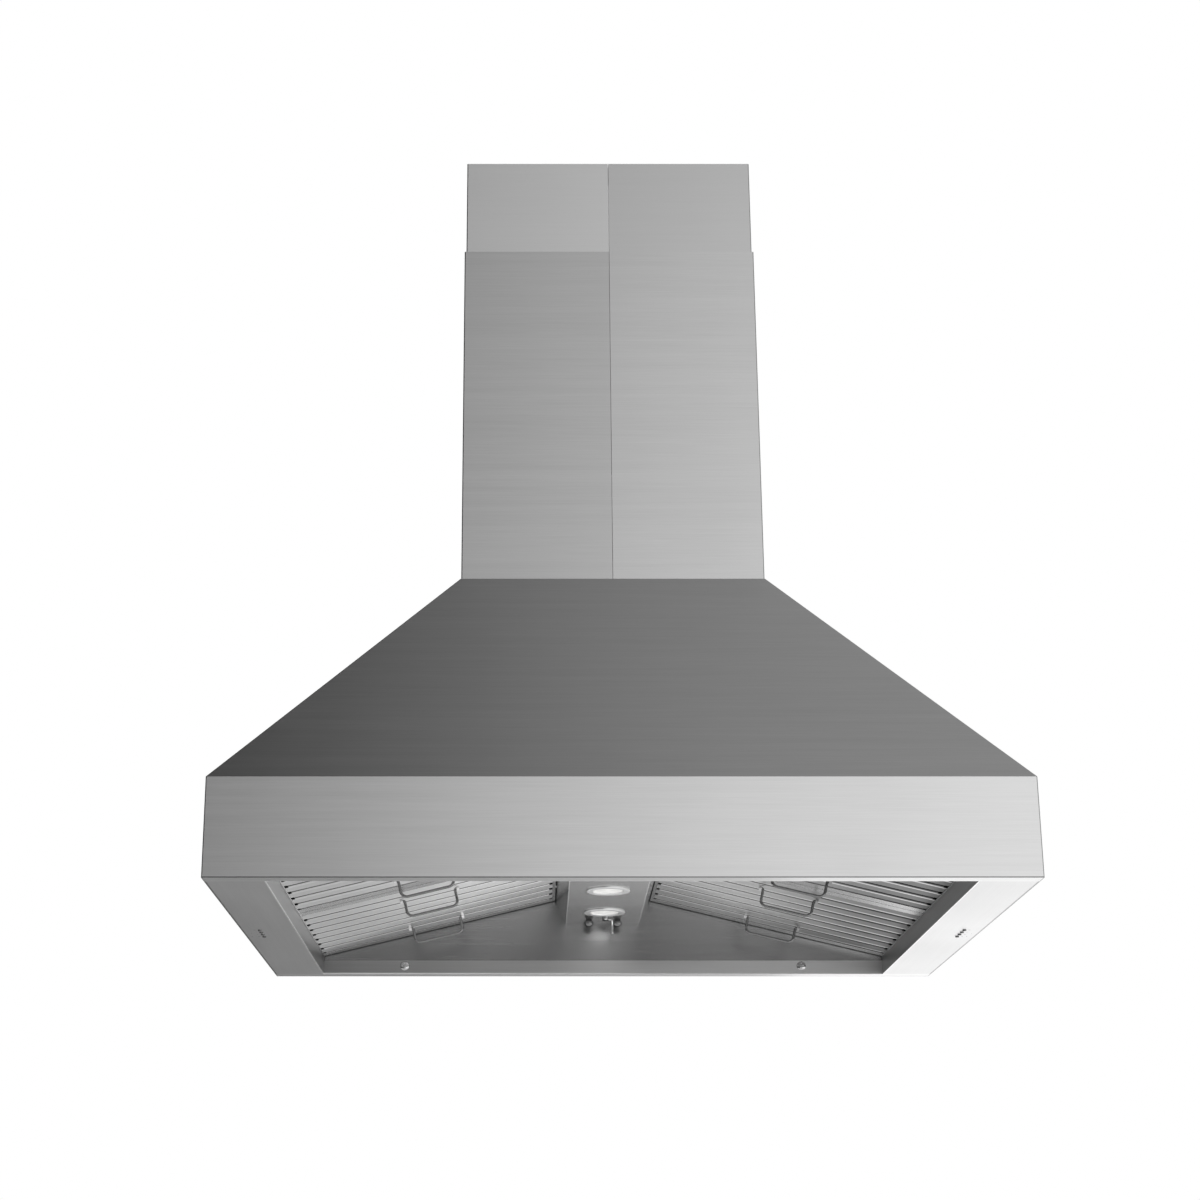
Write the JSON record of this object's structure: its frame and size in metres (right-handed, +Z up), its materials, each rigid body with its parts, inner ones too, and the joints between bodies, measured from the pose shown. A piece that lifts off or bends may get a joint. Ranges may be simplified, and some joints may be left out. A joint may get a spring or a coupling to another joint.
{
  "type": "island range hood",
  "caption": "Ceiling-hung stainless island range hood: two-part box chimney, sloped canopy, baffle filters with bail handles, lamps, blower and duct collar.",
  "frame": {"origin": "centre of the four ceiling bolts, on the ceiling plate's top face", "axes": "+Z up out of the ceiling plate, -Y towards the front of the hood, +X to the right as seen from the front"},
  "size_m": [1.067, 0.864, 1.1365],
  "materials": {
    "galvanised_frame": "galvanised, dull spangle",
    "upper_chimney_steel": "fine satin grain across",
    "lower_chimney_steel": "fine satin grain across",
    "canopy_steel": "fine satin grain across",
    "rim_steel": "fine satin grain along each rail",
    "liner_steel": "satin",
    "light_box_steel": "satin",
    "bright_hardware": "bright plated",
    "zinc_hardware": "zinc plated",
    "lamp_trim": "bright ring",
    "lamp_glass": "frosted",
    "lamp_housing": "die cast",
    "filter_frame_steel": "satin",
    "filter_baffle_steel": "bright satin",
    "handle_wire": "bright drawn wire",
    "button_metal": "dark metal",
    "circuit_board": "solder mask",
    "galvanised_sheet": "galvanised",
    "motor_casing": "satin black",
    "wheel_aluminium": "mill finish"
  },
  "bodies": {
    "ceiling_frame": {"ceiling_plate": "galvanised_frame", "upper_posts": "galvanised_frame", "upper_chimney_left": "upper_chimney_steel", "upper_chimney_right": "upper_chimney_steel"},
    "hood": {"blower_motor": "motor_casing", "blower_scroll": "galvanised_sheet", "canopy_front_panel": "canopy_steel", "canopy_left_panel": "canopy_steel", "canopy_rear_panel": "canopy_steel", "canopy_right_panel": "canopy_steel", "control_boards": "circuit_board", "damper_rod": "zinc_hardware", "duct_collar": "galvanised_sheet", "filter_catches": "bright_hardware", "front_liner_wall": "liner_steel", "junction_box": "galvanised_sheet", "lamp_bezels": "lamp_trim", "lamp_housings": "lamp_housing", "lamp_lenses": "lamp_glass", "light_box": "light_box_steel", "light_box_knobs": "bright_hardware", "liner_screws": "bright_hardware", "lower_chimney_left": "lower_chimney_steel", "lower_chimney_right": "lower_chimney_steel", "lower_posts": "galvanised_frame", "post_bolts": "zinc_hardware", "rear_liner_wall": "liner_steel", "rim_front_rail": "rim_steel", "rim_left_rail": "rim_steel", "rim_rear_rail": "rim_steel", "rim_right_rail": "rim_steel", "top_frame": "galvanised_frame"},
    "filter_front_left": {"filter_front_left_frame": "filter_frame_steel", "filter_front_left_baffles": "filter_baffle_steel"},
    "handle_front_left_middle": {"handle_front_left_middle": "handle_wire"},
    "handle_front_left_end": {"handle_front_left_end": "handle_wire"},
    "filter_front_right": {"filter_front_right_frame": "filter_frame_steel", "filter_front_right_baffles": "filter_baffle_steel"},
    "handle_front_right_middle": {"handle_front_right_middle": "handle_wire"},
    "handle_front_right_end": {"handle_front_right_end": "handle_wire"},
    "filter_rear_left": {"filter_rear_left_frame": "filter_frame_steel", "filter_rear_left_baffles": "filter_baffle_steel"},
    "handle_rear_left_middle": {"handle_rear_left_middle": "handle_wire"},
    "handle_rear_left_end": {"handle_rear_left_end": "handle_wire"},
    "filter_rear_right": {"filter_rear_right_frame": "filter_frame_steel", "filter_rear_right_baffles": "filter_baffle_steel"},
    "handle_rear_right_middle": {"handle_rear_right_middle": "handle_wire"},
    "handle_rear_right_end": {"handle_rear_right_end": "handle_wire"},
    "button_left_1": {"button_left_1": "button_metal"},
    "button_left_2": {"button_left_2": "button_metal"},
    "button_left_3": {"button_left_3": "button_metal"},
    "button_left_4": {"button_left_4": "button_metal"},
    "button_right_1": {"button_right_1": "button_metal"},
    "button_right_2": {"button_right_2": "button_metal"},
    "button_right_3": {"button_right_3": "button_metal"},
    "button_right_4": {"button_right_4": "button_metal"},
    "light_box_latch": {"light_box_latch": "bright_hardware"},
    "impeller": {"impeller": "wheel_aluminium"},
    "damper_flap_left": {"damper_flap_left": "galvanised_sheet"},
    "damper_flap_right": {"damper_flap_right": "galvanised_sheet"}
  },
  "joints": [
    {"name": "height_adjust", "type": "slide", "parent": "ceiling_frame", "child": "hood", "axis": [0, 0, 1], "range_m": [-0.2, 0.1]},
    {"name": "filter_front_left_swing", "type": "hinge", "parent": "hood", "child": "filter_front_left", "pos_m": [-0.4538, -0.202, -1.10612], "axis": [0, 1, 0], "range_deg": [0, 75]},
    {"name": "handle_front_left_middle_swing", "type": "hinge", "parent": "filter_front_left", "child": "handle_front_left_middle", "pos_m": [-0.26844, -0.08, -1.0643], "axis": [0.9721, 0, 0.2344], "range_deg": [-75, 75]},
    {"name": "handle_front_left_end_swing", "type": "hinge", "parent": "filter_front_left", "child": "handle_front_left_end", "pos_m": [-0.26844, -0.324, -1.0643], "axis": [0.9721, 0, 0.2344], "range_deg": [-75, 75]},
    {"name": "filter_front_right_swing", "type": "hinge", "parent": "hood", "child": "filter_front_right", "pos_m": [0.4538, -0.202, -1.10612], "axis": [0, -1, 0], "range_deg": [0, 75]},
    {"name": "handle_front_right_middle_swing", "type": "hinge", "parent": "filter_front_right", "child": "handle_front_right_middle", "pos_m": [0.26844, -0.08, -1.0643], "axis": [-0.9721, 0, 0.2344], "range_deg": [-75, 75]},
    {"name": "handle_front_right_end_swing", "type": "hinge", "parent": "filter_front_right", "child": "handle_front_right_end", "pos_m": [0.26844, -0.324, -1.0643], "axis": [-0.9721, 0, 0.2344], "range_deg": [-75, 75]},
    {"name": "filter_rear_left_swing", "type": "hinge", "parent": "hood", "child": "filter_rear_left", "pos_m": [-0.4538, 0.202, -1.10612], "axis": [0, 1, 0], "range_deg": [0, 75]},
    {"name": "handle_rear_left_middle_swing", "type": "hinge", "parent": "filter_rear_left", "child": "handle_rear_left_middle", "pos_m": [-0.26844, 0.08, -1.0643], "axis": [0.9721, 0, 0.2344], "range_deg": [-75, 75]},
    {"name": "handle_rear_left_end_swing", "type": "hinge", "parent": "filter_rear_left", "child": "handle_rear_left_end", "pos_m": [-0.26844, 0.324, -1.0643], "axis": [0.9721, 0, 0.2344], "range_deg": [-75, 75]},
    {"name": "filter_rear_right_swing", "type": "hinge", "parent": "hood", "child": "filter_rear_right", "pos_m": [0.4538, 0.202, -1.10612], "axis": [0, -1, 0], "range_deg": [0, 75]},
    {"name": "handle_rear_right_middle_swing", "type": "hinge", "parent": "filter_rear_right", "child": "handle_rear_right_middle", "pos_m": [0.26844, 0.08, -1.0643], "axis": [-0.9721, 0, 0.2344], "range_deg": [-75, 75]},
    {"name": "handle_rear_right_end_swing", "type": "hinge", "parent": "filter_rear_right", "child": "handle_rear_right_end", "pos_m": [0.26844, 0.324, -1.0643], "axis": [-0.9721, 0, 0.2344], "range_deg": [-75, 75]},
    {"name": "button_left_1_press", "type": "slide", "parent": "hood", "child": "button_left_1", "axis": [0, 0, 1], "range_m": [0, 0.001], "stiffness_N_per_m": 300, "springref_m": -0.002},
    {"name": "button_left_2_press", "type": "slide", "parent": "hood", "child": "button_left_2", "axis": [0, 0, 1], "range_m": [0, 0.001], "stiffness_N_per_m": 300, "springref_m": -0.002},
    {"name": "button_left_3_press", "type": "slide", "parent": "hood", "child": "button_left_3", "axis": [0, 0, 1], "range_m": [0, 0.001], "stiffness_N_per_m": 300, "springref_m": -0.002},
    {"name": "button_left_4_press", "type": "slide", "parent": "hood", "child": "button_left_4", "axis": [0, 0, 1], "range_m": [0, 0.001], "stiffness_N_per_m": 300, "springref_m": -0.002},
    {"name": "button_right_1_press", "type": "slide", "parent": "hood", "child": "button_right_1", "axis": [0, 0, 1], "range_m": [0, 0.001], "stiffness_N_per_m": 300, "springref_m": -0.002},
    {"name": "button_right_2_press", "type": "slide", "parent": "hood", "child": "button_right_2", "axis": [0, 0, 1], "range_m": [0, 0.001], "stiffness_N_per_m": 300, "springref_m": -0.002},
    {"name": "button_right_3_press", "type": "slide", "parent": "hood", "child": "button_right_3", "axis": [0, 0, 1], "range_m": [0, 0.001], "stiffness_N_per_m": 300, "springref_m": -0.002},
    {"name": "button_right_4_press", "type": "slide", "parent": "hood", "child": "button_right_4", "axis": [0, 0, 1], "range_m": [0, 0.001], "stiffness_N_per_m": 300, "springref_m": -0.002},
    {"name": "latch_turn", "type": "hinge", "parent": "hood", "child": "light_box_latch", "pos_m": [0.003, 0.351, -1.051], "axis": [0, 0, 1], "range_deg": [0, 90]},
    {"name": "impeller_spin", "type": "hinge", "parent": "hood", "child": "impeller", "pos_m": [0, -0.093, -0.816], "axis": [1, 0, 0], "continuous": true},
    {"name": "damper_flap_left_lift", "type": "hinge", "parent": "hood", "child": "damper_flap_left", "pos_m": [0, 0, -0.635], "axis": [0, 1, 0], "range_deg": [0, 85]},
    {"name": "damper_flap_right_lift", "type": "hinge", "parent": "hood", "child": "damper_flap_right", "pos_m": [0, 0, -0.635], "axis": [0, -1, 0], "range_deg": [0, 85]}
  ]
}
